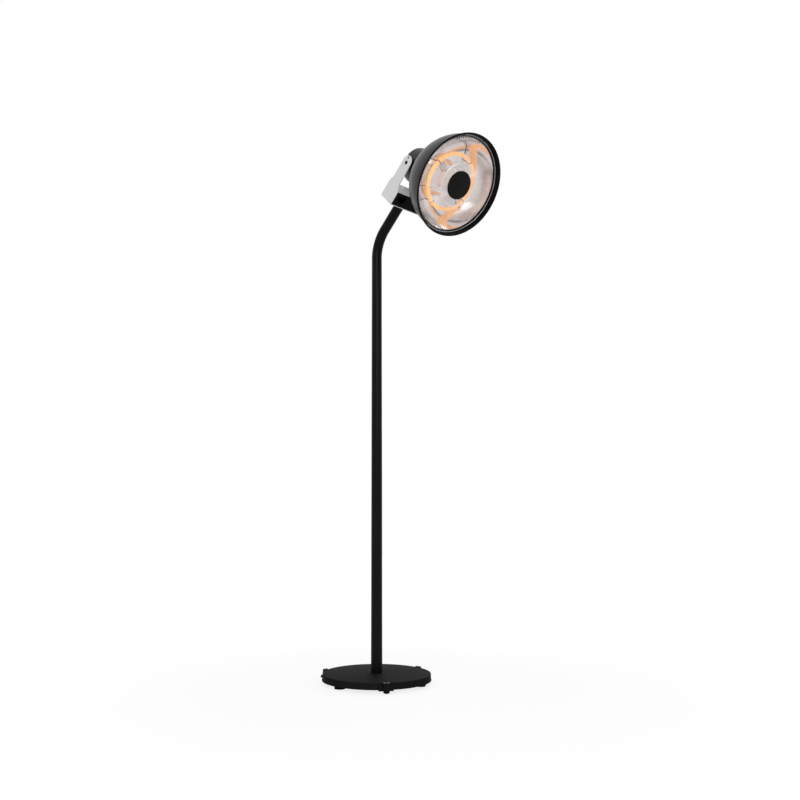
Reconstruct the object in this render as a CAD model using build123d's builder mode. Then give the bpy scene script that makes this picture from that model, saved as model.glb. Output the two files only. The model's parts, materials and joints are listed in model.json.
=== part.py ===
from build123d import *
from math import asin, atan2, cos, degrees, hypot, radians, sin, sqrt, tan
import os

os.makedirs("parts", exist_ok=True)

# Free-standing infrared patio heater: a round weighted base, a bent pole, a folded sheet-metal
# yoke and a tilting round heater head with a radial wire grille over a mirror bowl.
#
# Millimetres, +Z up, floor at Z = 0. The head looks towards -Y; X is the tilt axis direction.
# The origin is the centre of the bounding box at floor level, so the pole stands behind it.
# Depths inside the head are measured backwards from the plane of its front rim.

# ---------------------------------------------------------------- driving dimensions
# Placement
pole_x = -9.065              # pole axis, seen from the origin
pole_y = 197.021

# General fits
seat_gap = 0.2               # clearance between rigid pieces that slip together
bolt_gap = 0.3               # radial clearance of a bolt in a plain hole
pin_gap = 0.05               # radial clearance of a running pin or screw

# Base
base_radius = 200.0
cover_thickness = 3.0
cover_height = 23.0          # from the lip's underside to the top
cover_chamfer = 1.5
lip_overhang = 1.5
lip_thickness = 2.5
pad_height = 12.0
pad_radius = 20.0
pad_inset = 32.0             # of a pad's centre from the edge of the base
pad_azimuth = 28.0           # of the first pad, from the head's direction towards +X
base_plate_thickness = 2.0
ballast_gap = 3.0            # between the ballast and the cover's wall
foot_count = 3
outlet_azimuth = -131.6      # of the cable outlet
outlet_stub_radius = 5.0
outlet_stub_length = 5.5     # outside the cover's wall

# Levelling lugs
lug_azimuth = -32.0
lug_width = 52.0
lug_thickness = 3.0
lug_tongue = 46.0            # length of the tongue under the base
lug_upstand = 16.0           # height of the wide upstand over the tongue
column_width = 21.5
column_depth = 12.0
column_rise = 1.5            # of the column's top over the cover
screw_radius = 4.0
knob_radius = 9.0            # of the star knob between its lobes
knob_lobe_radius = 2.5
knob_lobe_count = 6
knob_height = 5.0
foot_tip_radius = 2.5
foot_lift = 1.0              # of the raised foot over the floor
lug_bolt_radius = 3.0
lug_bolt_spacing = 30.0

# Pole
pole_radius = 21.2
pole_wall = 2.5
pole_lean = 49.0             # of the upper stretch from the vertical
bend_apex_height = 1728.0    # where the two straight axes meet
bend_radius = 148.0
escutcheon_radius = 37.0
escutcheon_thickness = 0.8
plug_height = 40.0
pole_bolt_radius = 4.0
pole_bolt_circle = 10.5

# Yoke, along the leaning axis from the bend's apex
yoke_bottom = 192.5
pivot_reach = 361.0
yoke_half_width = 84.0
yoke_sheet = 3.0
arm_end_radius = 28.0
arm_end_rise = 1.5           # of the rounded end's centre over the pivot
arm_waist_rear = 26.5        # rear edge of the arm's narrow part, behind the axis
arm_rear = 37.0              # rear edge of the wide lower part, behind the axis
arm_front = 48.0             # front edge of the wide lower part, before the axis
box_length = 57.5            # from the yoke's underside to the web's foot
web_length = 27.0            # from the web's foot to its top
web_top_offset = 33.0        # of the web's top edge before the axis
flare_top = 94.0             # rear edge: top of the flare over the yoke's underside
flare_foot = 68.5
index_hole_radius = 4.8
index_hole_rise = 19.0       # over the pivot
index_hole_side = 5.0        # behind the axis
web_hole_radius = 3.0
web_hole_offset = 62.0
web_hole_drop = 5.0          # below the web's top edge
box_wall = 2.5
cable_hole_radius = 19.0
cable_hole_x = -44.0
cable_hole_height = 34.0     # over the yoke's underside
grommet_lip = 2.0
grommet_wall = 1.8
flange_radius = 31.5
flange_thickness = 6.0
tube_stub = 18.0             # of the pole above the yoke's bottom wall
flange_bolt_circle = 26.3
flange_bolt_radius = 2.5

# Pivot
pivot_radius = 5.0
pivot_head_radius = 7.0
pivot_head_height = 2.0
washer_radius = 15.0
washer_thickness = 1.5
boss_radius = 16.0
boss_depth = 14.0

# Head
head_tilt = 36.0             # of the head's axis below the horizontal
rim_to_pivot = 255.0
rim_radius = 199.5
shell_radius = 191.5
shell_depth = 201.0
shell_sheet = 1.0
oval_steps = 8               # stretches between the points of the shell's spun profile
land_radius = 80.0           # flat seat of the rear can on the shell
land_bore = 40.0
bezel_depth = 14.0
bezel_lip = 0.8              # rounding of the front edge
bezel_width = 2.0            # of the flat front face
bezel_step = 1.5             # of the bezel's back over the shell
ring_section = 3.0
ring_depth = 18.8
wire_count = 108
wire_section = 1.6
hub_outer = 54.0
hub_inner = 44.0
hub_depth = 8.4
hub_thickness = 2.0
badge_radius = 54.6
badge_thickness = 3.0
support_ring_radius = 82.0
carrier_bore = 181.0
carrier_thickness = 2.0
reflector_sheet = 1.0
reflector_inset = 0.5        # of the bowl's mouth inside the carrier
reflector_depth = 121.5      # of the bowl's floor
floor_radius = 76.0
bowl_bulge = 14.2            # of the wall's arc over its chord
middle_foot_radius = 73.0    # of the bowl's raised middle
middle_top_radius = 56.0
middle_rise = 44.0           # of the raised middle over the floor
lamp_depth = 59.0
lamp_radius = 107.5
tube_radius = 7.3
tube_wall = 1.2
clip_azimuth = 62.5
clip_count = 4
clip_width = 2.5
clip_thickness = 1.5
socket_azimuth = 146.0
socket_inner = 62.0
socket_length = 20.0
socket_width = 24.0
socket_height = 18.0
lead_radius = 1.5
lead_spacing = 12.0
standoff_circle = 42.0
standoff_radius = 5.0
standoff_count = 4
shield_radius = 110.0
shield_depth = 140.0
shield_sheet = 1.0
can_radius = 72.8
can_rise = 6.5               # of the can's axis over the head's axis
can_wall = 2.0
can_rear_depth = 288.0
can_fillet = 4.0
can_mouth = 52.0             # radius of the rear opening under the lid
lid_radius = 64.0
lid_thickness = 2.0
small_screw_radius = 3.5
small_screw_height = 1.8
gland_radius = 8.0
gland_bore = 3.0
gland_length = 12.0
pole_bolt_head_radius = 6.5
pole_bolt_head_height = 4.0
cover_screw_radius = 1.75
support_section = 2.4
plate_screw_radius = 2.0
plate_screw_length = 8.0
bracket_sheet = 1.5
bracket_reach = 15.0         # inwards from the lamp socket
bracket_width = 16.0
strip_length = 60.0
strip_height = 18.0
strip_depth = 16.0
lid_screw_circle = 58.0
lid_gland_height = 34.0      # of the cable gland off the lid's centre
socket_chamfer = 1.5

# ---------------------------------------------------------------- derived sizes and frames
lip_z = pad_height
top_z = lip_z + cover_height
ceiling_z = top_z - cover_thickness
plate_top_z = lip_z + base_plate_thickness
cover_bore = base_radius - cover_thickness
ballast_radius = cover_bore - ballast_gap
pad_circle = base_radius - pad_inset
lug_bottom = lip_z - lug_thickness

lean = radians(pole_lean)
tilt = radians(head_tilt)
pole_bore = pole_radius - pole_wall
bend_tangent = bend_radius * tan(lean / 2)

up = Vector(0, 0, 1)
along = Vector(0, -sin(lean), cos(lean))          # along the leaning axis, upwards
before = Vector(0, -cos(lean), -sin(lean))        # square to it, towards the front
apex = Vector(pole_x, pole_y, bend_apex_height)
pivot = apex + along * pivot_reach

look = Vector(0, -cos(tilt), -sin(tilt))          # the way the head faces
crown = Vector(0, -sin(tilt), cos(tilt))          # square to it, upwards
rim_centre = pivot + look * rim_to_pivot

base_frame = Plane(origin=(pole_x, pole_y, 0))
side_frame = Plane(origin=apex, x_dir=before, z_dir=(-1, 0, 0))      # x: before, y: along
yoke_frame = Plane(origin=apex, x_dir=(1, 0, 0), z_dir=along)
front_frame = Plane(origin=apex, x_dir=(1, 0, 0), z_dir=before)      # x: X, y: along
head_frame = Plane(origin=rim_centre, x_dir=(1, 0, 0), z_dir=look)
profile_frame = Plane(origin=rim_centre, x_dir=crown, z_dir=(-1, 0, 0))  # x: radius, y: depth
can_centre = rim_centre + crown * can_rise
can_frame = Plane(origin=can_centre, x_dir=crown, z_dir=(-1, 0, 0))      # x: radius, y: depth
pole_axis = Axis(base_frame.origin, up)
head_axis = Axis(rim_centre, look)
can_axis = Axis(can_centre, look)

wall_top = yoke_bottom + yoke_sheet
web_foot = yoke_bottom + box_length
web_top = web_foot + web_length
ring_back = ring_depth + ring_section
carrier_back = ring_back + carrier_thickness
boss_face = yoke_half_width - yoke_sheet - washer_thickness

# The bowl's wall is one arc from its mouth to its floor, about a point before the rim.
bowl_mouth = carrier_bore - reflector_inset
bowl_run = bowl_mouth - floor_radius
bowl_drop = reflector_depth - carrier_back
bowl_chord = hypot(bowl_run, bowl_drop)
bowl_arc = (bowl_chord**2 / 4 + bowl_bulge**2) / (2 * bowl_bulge)
bowl_setback = (bowl_arc - bowl_bulge) / bowl_chord
arc_x = (bowl_mouth + floor_radius) / 2 - bowl_setback * bowl_drop
arc_y = (carrier_back + reflector_depth) / 2 - bowl_setback * bowl_run
middle_depth = reflector_depth - middle_rise


def shell_bore(depth):
    """Inner radius of the spun shell at a depth behind the rim."""
    return (shell_radius - shell_sheet) * sqrt(1 - (depth / (shell_depth - shell_sheet)) ** 2)


def shell_outside(depth):
    """Outer radius of the spun shell at a depth behind the rim."""
    return shell_radius * sqrt(1 - (depth / shell_depth) ** 2)


def oval_points(radius, depth, first, last):
    """Points of the shell's elliptical profile between two depths behind the rim."""
    start = asin(first / depth)
    step = (asin(last / depth) - start) / oval_steps
    angles = [start + number * step for number in range(oval_steps + 1)]
    return [(radius * cos(angle), depth * sin(angle)) for angle in angles]


def bowl_surface(radius):
    """Depth of the mirror bowl's front surface at a radius of its wall."""
    return arc_y + sqrt(bowl_arc**2 - (radius - arc_x) ** 2)


def bowl_angle(arc_radius, depth):
    """Angle at which an arc about the wall's centre reaches a depth."""
    return degrees(asin((depth - arc_y) / arc_radius))


land_depth = shell_depth * sqrt(1 - (land_radius / shell_radius) ** 2)
ring_outer = shell_bore(ring_back) - seat_gap
ring_radius = ring_outer - ring_section / 2


def head_plane(depth):
    """Plane square to the head's axis at a depth behind the front rim, facing forwards."""
    return head_frame.offset(-depth)


def can_plane(depth):
    """Plane square to the rear can's axis at a depth behind the front rim, facing backwards."""
    return Plane(origin=can_centre - look * depth, x_dir=(1, 0, 0), z_dir=-look)


def base_ray(azimuth):
    """Upright plane through the pole axis: x outwards at an azimuth, y up."""
    outwards = Vector(sin(radians(azimuth)), -cos(radians(azimuth)), 0)
    return Plane(origin=base_frame.origin, x_dir=outwards, z_dir=outwards.cross(up))


def head_ray(azimuth):
    """Plane through the head's axis: x outwards at an azimuth, y backwards."""
    outwards = Vector(1, 0, 0) * cos(radians(azimuth)) + crown * sin(radians(azimuth))
    return Plane(origin=rim_centre, x_dir=outwards, z_dir=outwards.cross(-look))


def spread(first, count):
    """Azimuths of evenly spaced pieces."""
    return [first + 360 / count * number for number in range(count)]


def polar(radius, azimuth):
    """Point of a sketch from a radius and an azimuth."""
    return (radius * cos(radians(azimuth)), radius * sin(radians(azimuth)))


def export(name, part):
    """Label one finished piece and write its STEP file."""
    part.label = name
    export_step(part, f"parts/{name}.step")


def screws(plane, spots, shank_radius, shank_length, head_radius, head_height):
    """Round-headed screws: heads stand on the plane, shanks reach behind it."""
    with BuildPart() as group:
        with BuildSketch(plane):
            with Locations(*spots):
                Circle(head_radius)
        extrude(amount=head_height)
        with BuildSketch(plane):
            with Locations(*spots):
                Circle(shank_radius)
        extrude(amount=-shank_length)
    return group.part


# ---------------------------------------------------------------- base
outlet_ray = base_ray(outlet_azimuth)
outlet_middle = outlet_ray.origin + up * (plate_top_z + ceiling_z) / 2
outlet_frame = Plane(origin=outlet_middle, x_dir=outlet_ray.z_dir, z_dir=outlet_ray.x_dir)
outlet_radius = outlet_stub_radius - grommet_wall / 2

with BuildPart() as base_cover:
    with BuildSketch(base_ray(0)):
        with BuildLine():
            Polyline(
                (pole_radius + seat_gap, top_z),
                (base_radius - cover_chamfer, top_z),
                (base_radius, top_z - cover_chamfer),
                (base_radius, lip_z + lip_thickness),
                (base_radius + lip_overhang, lip_z + lip_thickness),
                (base_radius + lip_overhang, lip_z),
                (cover_bore, lip_z),
                (cover_bore, ceiling_z),
                (pole_radius + seat_gap, ceiling_z),
                close=True,
            )
        make_face()
    revolve(axis=pole_axis)
    with BuildSketch(outlet_frame.offset(ballast_radius)):
        Circle(outlet_radius)
    extrude(amount=base_radius, mode=Mode.SUBTRACT)
export("base_cover", base_cover.part)

upstand_inner = base_radius + lip_overhang + seat_gap
upstand_outer = upstand_inner + lug_thickness
column_centre = upstand_inner + column_depth / 2
tongue_inner = upstand_inner - lug_tongue
bolt_line = (upstand_inner + tongue_inner) / 2
lug_bolt_spots = [(bolt_line, -lug_bolt_spacing / 2), (bolt_line, lug_bolt_spacing / 2)]

with BuildPart() as base_plate:
    with BuildSketch(base_frame.offset(lip_z)):
        Circle(cover_bore - seat_gap)
        with PolarLocations(pole_bolt_circle, foot_count):
            Circle(pole_bolt_radius + bolt_gap, mode=Mode.SUBTRACT)
    extrude(amount=base_plate_thickness)
    for azimuth in spread(lug_azimuth, foot_count):
        with BuildSketch(Plane(origin=(pole_x, pole_y, lip_z), x_dir=base_ray(azimuth).x_dir)):
            with Locations(*lug_bolt_spots):
                Circle(lug_bolt_radius + bolt_gap)
        extrude(amount=base_plate_thickness, mode=Mode.SUBTRACT)
export("base_plate", base_plate.part)

with BuildPart() as ballast_disc:
    with BuildSketch(base_frame.offset(plate_top_z)):
        Circle(ballast_radius)
        with PolarLocations(pole_bolt_circle, foot_count):
            Circle(pole_bolt_radius + bolt_gap, mode=Mode.SUBTRACT)
    extrude(amount=ceiling_z - plate_top_z)
export("ballast_disc", ballast_disc.part)

with BuildPart() as cable_grommet:
    with BuildSketch(outlet_frame.offset(cover_bore)):
        Circle(outlet_radius - seat_gap)
        Circle(outlet_radius - grommet_wall, mode=Mode.SUBTRACT)
    extrude(amount=cover_thickness)
    with BuildSketch(outlet_frame.offset(base_radius)):
        Circle(outlet_stub_radius)
        Circle(outlet_radius - grommet_wall, mode=Mode.SUBTRACT)
    extrude(amount=outlet_stub_length)
export("cable_grommet", cable_grommet.part)

for number, azimuth in enumerate(spread(pad_azimuth, foot_count), start=1):
    ray = base_ray(azimuth)
    with BuildPart() as pad:
        with BuildSketch(Plane(ray.origin + ray.x_dir * pad_circle)):
            Circle(pad_radius)
        extrude(amount=pad_height)
        chamfer(pad.edges().group_by(Axis.Z)[0], length=1.0)
    export(f"pad_{number}", pad.part)

# Levelling lugs: a tongue under the base, a wide upstand and a threaded column outside the rim.
knob_top = lug_bottom - seat_gap
for number, azimuth in enumerate(spread(lug_azimuth, foot_count), start=1):
    ray = base_ray(azimuth)
    flat = Plane(origin=(pole_x, pole_y, lug_bottom), x_dir=ray.x_dir)
    outwards = Axis(ray.origin, ray.x_dir)
    with BuildPart() as lug:
        with BuildSketch(flat):
            with Locations(((tongue_inner + upstand_outer) / 2, 0)):
                Rectangle(upstand_outer - tongue_inner, lug_width)
        extrude(amount=lug_thickness)
        with BuildSketch(flat):
            with Locations((upstand_inner + lug_thickness / 2, 0)):
                Rectangle(lug_thickness, lug_width)
        extrude(amount=lug_thickness + lug_upstand)
        fillet(lug.edges().filter_by(outwards).group_by(Axis.Z)[-1], radius=lug_thickness / 2)
        with BuildSketch(flat):
            with Locations((column_centre, 0)):
                Rectangle(column_depth, column_width)
        extrude(amount=top_z + column_rise - lug_bottom)
        fillet(lug.edges().filter_by(Axis.Z).group_by(outwards)[-1], radius=lug_thickness / 2)
        with BuildSketch(flat):
            with Locations((column_centre, 0)):
                Circle(screw_radius + pin_gap)
            with Locations(*lug_bolt_spots):
                Circle(lug_bolt_radius + bolt_gap)
        extrude(amount=top_z, mode=Mode.SUBTRACT)
    export(f"lug_{number}", lug.part)

    screw_foot = Plane(origin=ray.origin + ray.x_dir * column_centre, x_dir=ray.x_dir)
    with BuildPart() as foot:
        with BuildSketch(screw_foot.offset(knob_top - knob_height)):
            Circle(knob_radius)
            with PolarLocations(knob_radius, knob_lobe_count):
                Circle(knob_lobe_radius)
        extrude(amount=knob_height)
        with BuildSketch(screw_foot.offset(knob_top)):
            Circle(screw_radius)
        extrude(amount=top_z - knob_top)
        with BuildSketch(screw_foot.offset(foot_lift)):
            Circle(foot_tip_radius)
        extrude(amount=knob_top - knob_height - foot_lift)
    export(f"foot_{number}", foot.part)

    under = Plane(origin=flat.origin, x_dir=ray.x_dir, z_dir=-up)
    lug_bolts = screws(
        under,
        lug_bolt_spots,
        lug_bolt_radius,
        lug_thickness + base_plate_thickness,
        2 * lug_bolt_radius,
        small_screw_height,
    )
    export(f"lug_bolts_{number}", lug_bolts)

# ---------------------------------------------------------------- pole
bend_start = apex - up * bend_tangent
bend_end = apex + along * bend_tangent

with BuildPart() as pole_tube:
    with BuildLine() as pole_path:
        Line((pole_x, pole_y, ceiling_z), bend_start)
        TangentArc(bend_start, bend_end, tangent=up)
        Line(bend_end, apex + along * (wall_top + tube_stub))
    with BuildSketch(base_frame.offset(ceiling_z)):
        Circle(pole_radius)
        Circle(pole_bore, mode=Mode.SUBTRACT)
    sweep(path=pole_path.wire())
export("pole_tube", pole_tube.part)

with BuildPart() as pole_plug:
    with BuildSketch(base_frame.offset(ceiling_z)):
        Circle(pole_bore - seat_gap / 2)
        with PolarLocations(pole_bolt_circle, foot_count):
            Circle(pole_bolt_radius + pin_gap, mode=Mode.SUBTRACT)
    extrude(amount=plug_height)
export("pole_plug", pole_plug.part)

pole_bolt_spots = [polar(pole_bolt_circle, azimuth) for azimuth in spread(0, foot_count)]
pole_bolts = screws(
    Plane(origin=(pole_x, pole_y, lip_z), x_dir=(1, 0, 0), z_dir=-up),
    pole_bolt_spots,
    pole_bolt_radius,
    ceiling_z - lip_z + plug_height / 2,
    pole_bolt_head_radius,
    pole_bolt_head_height,
)
export("pole_bolts", pole_bolts)

with BuildPart() as escutcheon:
    with BuildSketch(base_frame.offset(top_z)):
        Circle(escutcheon_radius)
        Circle(pole_radius + seat_gap, mode=Mode.SUBTRACT)
    extrude(amount=escutcheon_thickness)
    escutcheon_edge = escutcheon.edges().group_by(Axis.Z)[-1].sort_by(SortBy.RADIUS)[-1]
    chamfer(escutcheon_edge, length=escutcheon_thickness / 2)
export("escutcheon", escutcheon.part)

# ---------------------------------------------------------------- yoke
# One folded sheet: a bottom wall on the pole, two arms and a sloping web between them.
web_skew = yoke_sheet / cos(atan2(arm_front - web_top_offset, web_length))
arm_end = pivot_reach + arm_end_rise
beyond = arm_front + arm_end_radius + pivot_reach

with BuildPart() as yoke:
    with BuildSketch(side_frame):
        with BuildLine():
            Polyline(
                (-arm_end_radius, arm_end),
                (-arm_waist_rear, yoke_bottom + flare_top),
                (-arm_rear, yoke_bottom + flare_foot),
                (-arm_rear, yoke_bottom),
                (arm_front, yoke_bottom),
                (arm_front, web_foot),
                (web_top_offset, web_top),
                (arm_end_radius, arm_end),
            )
            ThreePointArc(
                (arm_end_radius, arm_end),
                (0, arm_end + arm_end_radius),
                (-arm_end_radius, arm_end),
            )
        make_face()
    extrude(amount=yoke_half_width, both=True)
    with BuildSketch(side_frame):
        with BuildLine():
            Polyline(
                (-beyond, wall_top),
                (beyond, wall_top),
                (beyond, web_foot),
                (arm_front - web_skew, web_foot),
                (web_top_offset - web_skew, web_top),
                (beyond, web_top),
                (beyond, beyond),
                (-beyond, beyond),
                close=True,
            )
        make_face()
    extrude(amount=yoke_half_width - yoke_sheet, both=True, mode=Mode.SUBTRACT)
    with BuildSketch(side_frame):
        with Locations((0, pivot_reach)):
            Circle(pivot_radius + bolt_gap)
        with Locations((-index_hole_side, pivot_reach + index_hole_rise)):
            Circle(index_hole_radius)
    extrude(amount=yoke_half_width, both=True, mode=Mode.SUBTRACT)
    with BuildSketch(front_frame):
        with Locations(
            (-web_hole_offset, web_top - web_hole_drop),
            (web_hole_offset, web_top - web_hole_drop),
        ):
            Circle(web_hole_radius)
    extrude(amount=arm_front, mode=Mode.SUBTRACT)
    with BuildSketch(yoke_frame.offset(yoke_bottom)):
        Circle(pole_radius + seat_gap)
        with PolarLocations(flange_bolt_circle, 4, start_angle=45):
            Circle(flange_bolt_radius + bolt_gap)
    extrude(amount=yoke_sheet, mode=Mode.SUBTRACT)
export("yoke", yoke.part)

# Junction box between the arms, closed by a front cover with a round cable hole.
box_half_width = yoke_half_width - yoke_sheet - seat_gap
box_middle = (wall_top + web_foot) / 2
box_height = web_foot - wall_top
cover_back = arm_front - box_wall - seat_gap
box_back = -arm_rear + box_wall / 2

with BuildPart() as junction_box:
    with BuildSketch(front_frame.offset(box_back)):
        with Locations((0, box_middle)):
            Rectangle(2 * box_half_width, box_height)
    extrude(amount=cover_back - box_back)
    with BuildSketch(front_frame.offset(box_back + box_wall)):
        with Locations((0, box_middle)):
            Rectangle(2 * (box_half_width - box_wall), box_height - 2 * box_wall)
    extrude(amount=cover_back - box_back, mode=Mode.SUBTRACT)
    with BuildSketch(yoke_frame.offset(wall_top)):
        Circle(pole_radius + seat_gap)
        with PolarLocations(flange_bolt_circle, 4, start_angle=45):
            Circle(flange_bolt_radius + bolt_gap)
    extrude(amount=box_wall, mode=Mode.SUBTRACT)
export("junction_box", junction_box.part)

cable_hole = (cable_hole_x, yoke_bottom + cable_hole_height)
cover_screw_spots = [
    (side * (box_half_width - 3 * box_wall), end)
    for side in (-1, 1)
    for end in (wall_top + 3 * box_wall, web_foot - 3 * box_wall)
]
with BuildPart() as junction_cover:
    with BuildSketch(front_frame.offset(cover_back)):
        with Locations((0, box_middle)):
            Rectangle(2 * box_half_width, box_height)
        with Locations(cable_hole):
            Circle(cable_hole_radius, mode=Mode.SUBTRACT)
        with Locations(*cover_screw_spots):
            Circle(cover_screw_radius + pin_gap, mode=Mode.SUBTRACT)
    extrude(amount=box_wall)
export("junction_cover", junction_cover.part)

cover_screws = screws(
    front_frame.offset(cover_back + box_wall),
    cover_screw_spots,
    cover_screw_radius,
    2 * box_wall,
    small_screw_radius,
    small_screw_height,
)
export("cover_screws", cover_screws)

grommet_bore = cable_hole_radius - seat_gap - grommet_wall
with BuildPart() as box_grommet:
    with BuildSketch(front_frame.offset(cover_back)):
        with Locations(cable_hole):
            Circle(cable_hole_radius - seat_gap)
            Circle(grommet_bore, mode=Mode.SUBTRACT)
    extrude(amount=box_wall)
    with BuildSketch(front_frame.offset(cover_back + box_wall)):
        with Locations(cable_hole):
            Circle(cable_hole_radius + grommet_lip)
            Circle(grommet_bore, mode=Mode.SUBTRACT)
    extrude(amount=grommet_lip / 2)
export("box_grommet", box_grommet.part)

with BuildPart() as tube_flange:
    with BuildSketch(yoke_frame.offset(wall_top + box_wall)):
        Circle(flange_radius)
        Circle(pole_radius + seat_gap, mode=Mode.SUBTRACT)
        with PolarLocations(flange_bolt_circle, 4, start_angle=45):
            Circle(flange_bolt_radius + bolt_gap, mode=Mode.SUBTRACT)
    extrude(amount=flange_thickness)
export("tube_flange", tube_flange.part)

flange_bolts = screws(
    yoke_frame.offset(wall_top + box_wall + flange_thickness),
    [polar(flange_bolt_circle, azimuth) for azimuth in spread(45, 4)],
    flange_bolt_radius,
    flange_thickness + box_wall + yoke_sheet,
    1.7 * flange_bolt_radius,
    flange_bolt_radius,
)
export("flange_bolts", flange_bolts)

with BuildPart() as terminal_strip:
    with BuildSketch(front_frame.offset(box_back + box_wall)):
        with Locations((0, web_foot - box_wall - strip_height)):
            Rectangle(strip_length, strip_height)
    extrude(amount=strip_depth)
    chamfer(terminal_strip.faces().sort_by(Axis(apex, before))[-1].edges(), length=box_wall / 2)
export("terminal_strip", terminal_strip.part)

# ---------------------------------------------------------------- pivots
for side, name in ((-1, "left"), (1, "right")):
    arm_face = pivot + Vector(side * yoke_half_width, 0, 0)
    outer_face = Plane(origin=arm_face, x_dir=along, z_dir=(side, 0, 0))
    with BuildPart() as pivot_bolt:
        with BuildSketch(outer_face):
            Circle(pivot_head_radius)
        extrude(amount=pivot_head_height)
        chamfer(pivot_bolt.edges().group_by(Axis.X)[-1 if side > 0 else 0], length=pivot_head_height / 4)
        with BuildSketch(outer_face.offset(pivot_head_height)):
            RegularPolygon(pivot_radius * 0.6, 6)
        extrude(amount=-pivot_head_height * 0.7, mode=Mode.SUBTRACT)
        with BuildSketch(outer_face):
            Circle(pivot_radius)
        extrude(amount=-(yoke_sheet + washer_thickness + boss_depth))
    export(f"pivot_bolt_{name}", pivot_bolt.part)

    with BuildPart() as pivot_washer:
        with BuildSketch(outer_face.offset(-yoke_sheet)):
            Circle(washer_radius)
            Circle(pivot_radius + bolt_gap, mode=Mode.SUBTRACT)
        extrude(amount=-washer_thickness)
    export(f"pivot_washer_{name}", pivot_washer.part)

# ---------------------------------------------------------------- head: shell and front
with BuildPart() as shell:
    inner_depth = shell_depth - shell_sheet
    inner_radius = shell_radius - shell_sheet
    land_inside = land_depth - shell_sheet
    with BuildSketch(profile_frame):
        with BuildLine():
            outer_arc = Spline(*oval_points(shell_radius, shell_depth, bezel_depth, land_depth))
            inner_arc = Spline(*oval_points(inner_radius, inner_depth, bezel_depth, land_inside))
            Line(outer_arc @ 0, inner_arc @ 0)
            Polyline(outer_arc @ 1, (land_bore, land_depth), (land_bore, land_inside), inner_arc @ 1)
        make_face()
    revolve(axis=head_axis)
export("shell", shell.part)

with BuildPart() as bezel:
    with BuildSketch(profile_frame):
        with BuildLine():
            Polyline(
                (rim_radius - bezel_lip, 0),
                (rim_radius, bezel_lip),
                (shell_outside(bezel_depth) + bezel_step, bezel_depth),
                (shell_bore(bezel_depth), bezel_depth),
                (rim_radius - bezel_lip - bezel_width, 0),
                close=True,
            )
        make_face()
    revolve(axis=head_axis)
export("bezel", bezel.part)

with BuildPart() as ring_carrier:
    with BuildSketch(head_plane(ring_back)):
        Circle(shell_bore(carrier_back) - seat_gap)
        Circle(carrier_bore, mode=Mode.SUBTRACT)
    extrude(amount=-carrier_thickness)
export("ring_carrier", ring_carrier.part)

# Grille: radial wires from the hub to the outer ring over one support ring, all welded.
wire_outer_depth = ring_depth + wire_section / 4
wire_inner_depth = hub_depth + hub_thickness / 2
wire_inner_radius = (hub_inner + hub_outer) / 2
wire_rise = wire_outer_depth - wire_inner_depth
wire_run = ring_radius - wire_inner_radius
wire_length = hypot(wire_run, wire_rise)
wire_turn = degrees(atan2(wire_rise, wire_run))
wire_slope = wire_rise / wire_run
support_depth = wire_inner_depth + (support_ring_radius - wire_inner_radius) * wire_slope

with BuildPart(head_plane((wire_outer_depth + wire_inner_depth) / 2)) as grille:
    with PolarLocations((ring_radius + wire_inner_radius) / 2, wire_count):
        Box(wire_length, wire_section, wire_section, rotation=(0, wire_turn, 0))
    for radius, width, depth, height in (
        (ring_radius, ring_section, ring_depth, ring_section),
        (support_ring_radius, support_section, support_depth, support_section),
        (wire_inner_radius, hub_outer - hub_inner, hub_depth, hub_thickness),
    ):
        with BuildSketch(head_plane(depth)):
            Circle(radius + width / 2)
            Circle(radius - width / 2, mode=Mode.SUBTRACT)
        extrude(amount=-height)
export("grille", grille.part)

with BuildPart() as badge:
    with BuildSketch(head_plane(hub_depth)):
        Circle(badge_radius)
    extrude(amount=badge_thickness)
    chamfer(badge.edges().group_by(Axis(rim_centre, look))[-1], length=badge_thickness / 4)
export("badge", badge.part)

# ---------------------------------------------------------------- head: mirror bowl and lamp
standoff_spots = [polar(standoff_circle, azimuth) for azimuth in spread(45, standoff_count)]

# One pressed sheet: a flange, the curved wall, a ring of floor and a raised conical middle.
flange_back = carrier_back + reflector_sheet
flange_outer = shell_bore(flange_back) - seat_gap
floor_back = reflector_depth + reflector_sheet
back_arc_radius = bowl_arc + reflector_sheet
front_start = bowl_angle(bowl_arc, carrier_back)
front_turn = bowl_angle(bowl_arc, reflector_depth) - front_start
back_start = bowl_angle(back_arc_radius, flange_back)
back_turn = bowl_angle(back_arc_radius, floor_back) - back_start
middle_flare = middle_foot_radius - middle_top_radius
skin_shift = (middle_flare - hypot(middle_flare, middle_rise)) * reflector_sheet / middle_rise

with BuildPart() as reflector:
    with BuildSketch(profile_frame):
        with BuildLine():
            front_arc = CenterArc((arc_x, arc_y), bowl_arc, front_start, front_turn)
            back_arc = CenterArc((arc_x, arc_y), back_arc_radius, back_start, back_turn)
            Polyline(
                front_arc @ 1,
                (middle_foot_radius, reflector_depth),
                (middle_top_radius, middle_depth),
                (0, middle_depth),
                (0, middle_depth + reflector_sheet),
                (middle_top_radius + skin_shift, middle_depth + reflector_sheet),
                (middle_foot_radius + skin_shift, floor_back),
                back_arc @ 1,
            )
            Polyline(
                back_arc @ 0,
                (flange_outer, flange_back),
                (flange_outer, carrier_back),
                front_arc @ 0,
            )
        make_face()
    revolve(axis=head_axis)
    with BuildSketch(head_plane(middle_depth)):
        with Locations(*standoff_spots):
            Circle(plate_screw_radius + bolt_gap)
    extrude(amount=-reflector_sheet, mode=Mode.SUBTRACT)
export("reflector", reflector.part)

with BuildPart() as lamp_tube:
    with BuildSketch(profile_frame):
        with Locations((lamp_radius, lamp_depth)):
            Circle(tube_radius)
            Circle(tube_radius - tube_wall, mode=Mode.SUBTRACT)
    revolve(axis=head_axis)
export("lamp_tube", lamp_tube.part)

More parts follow.
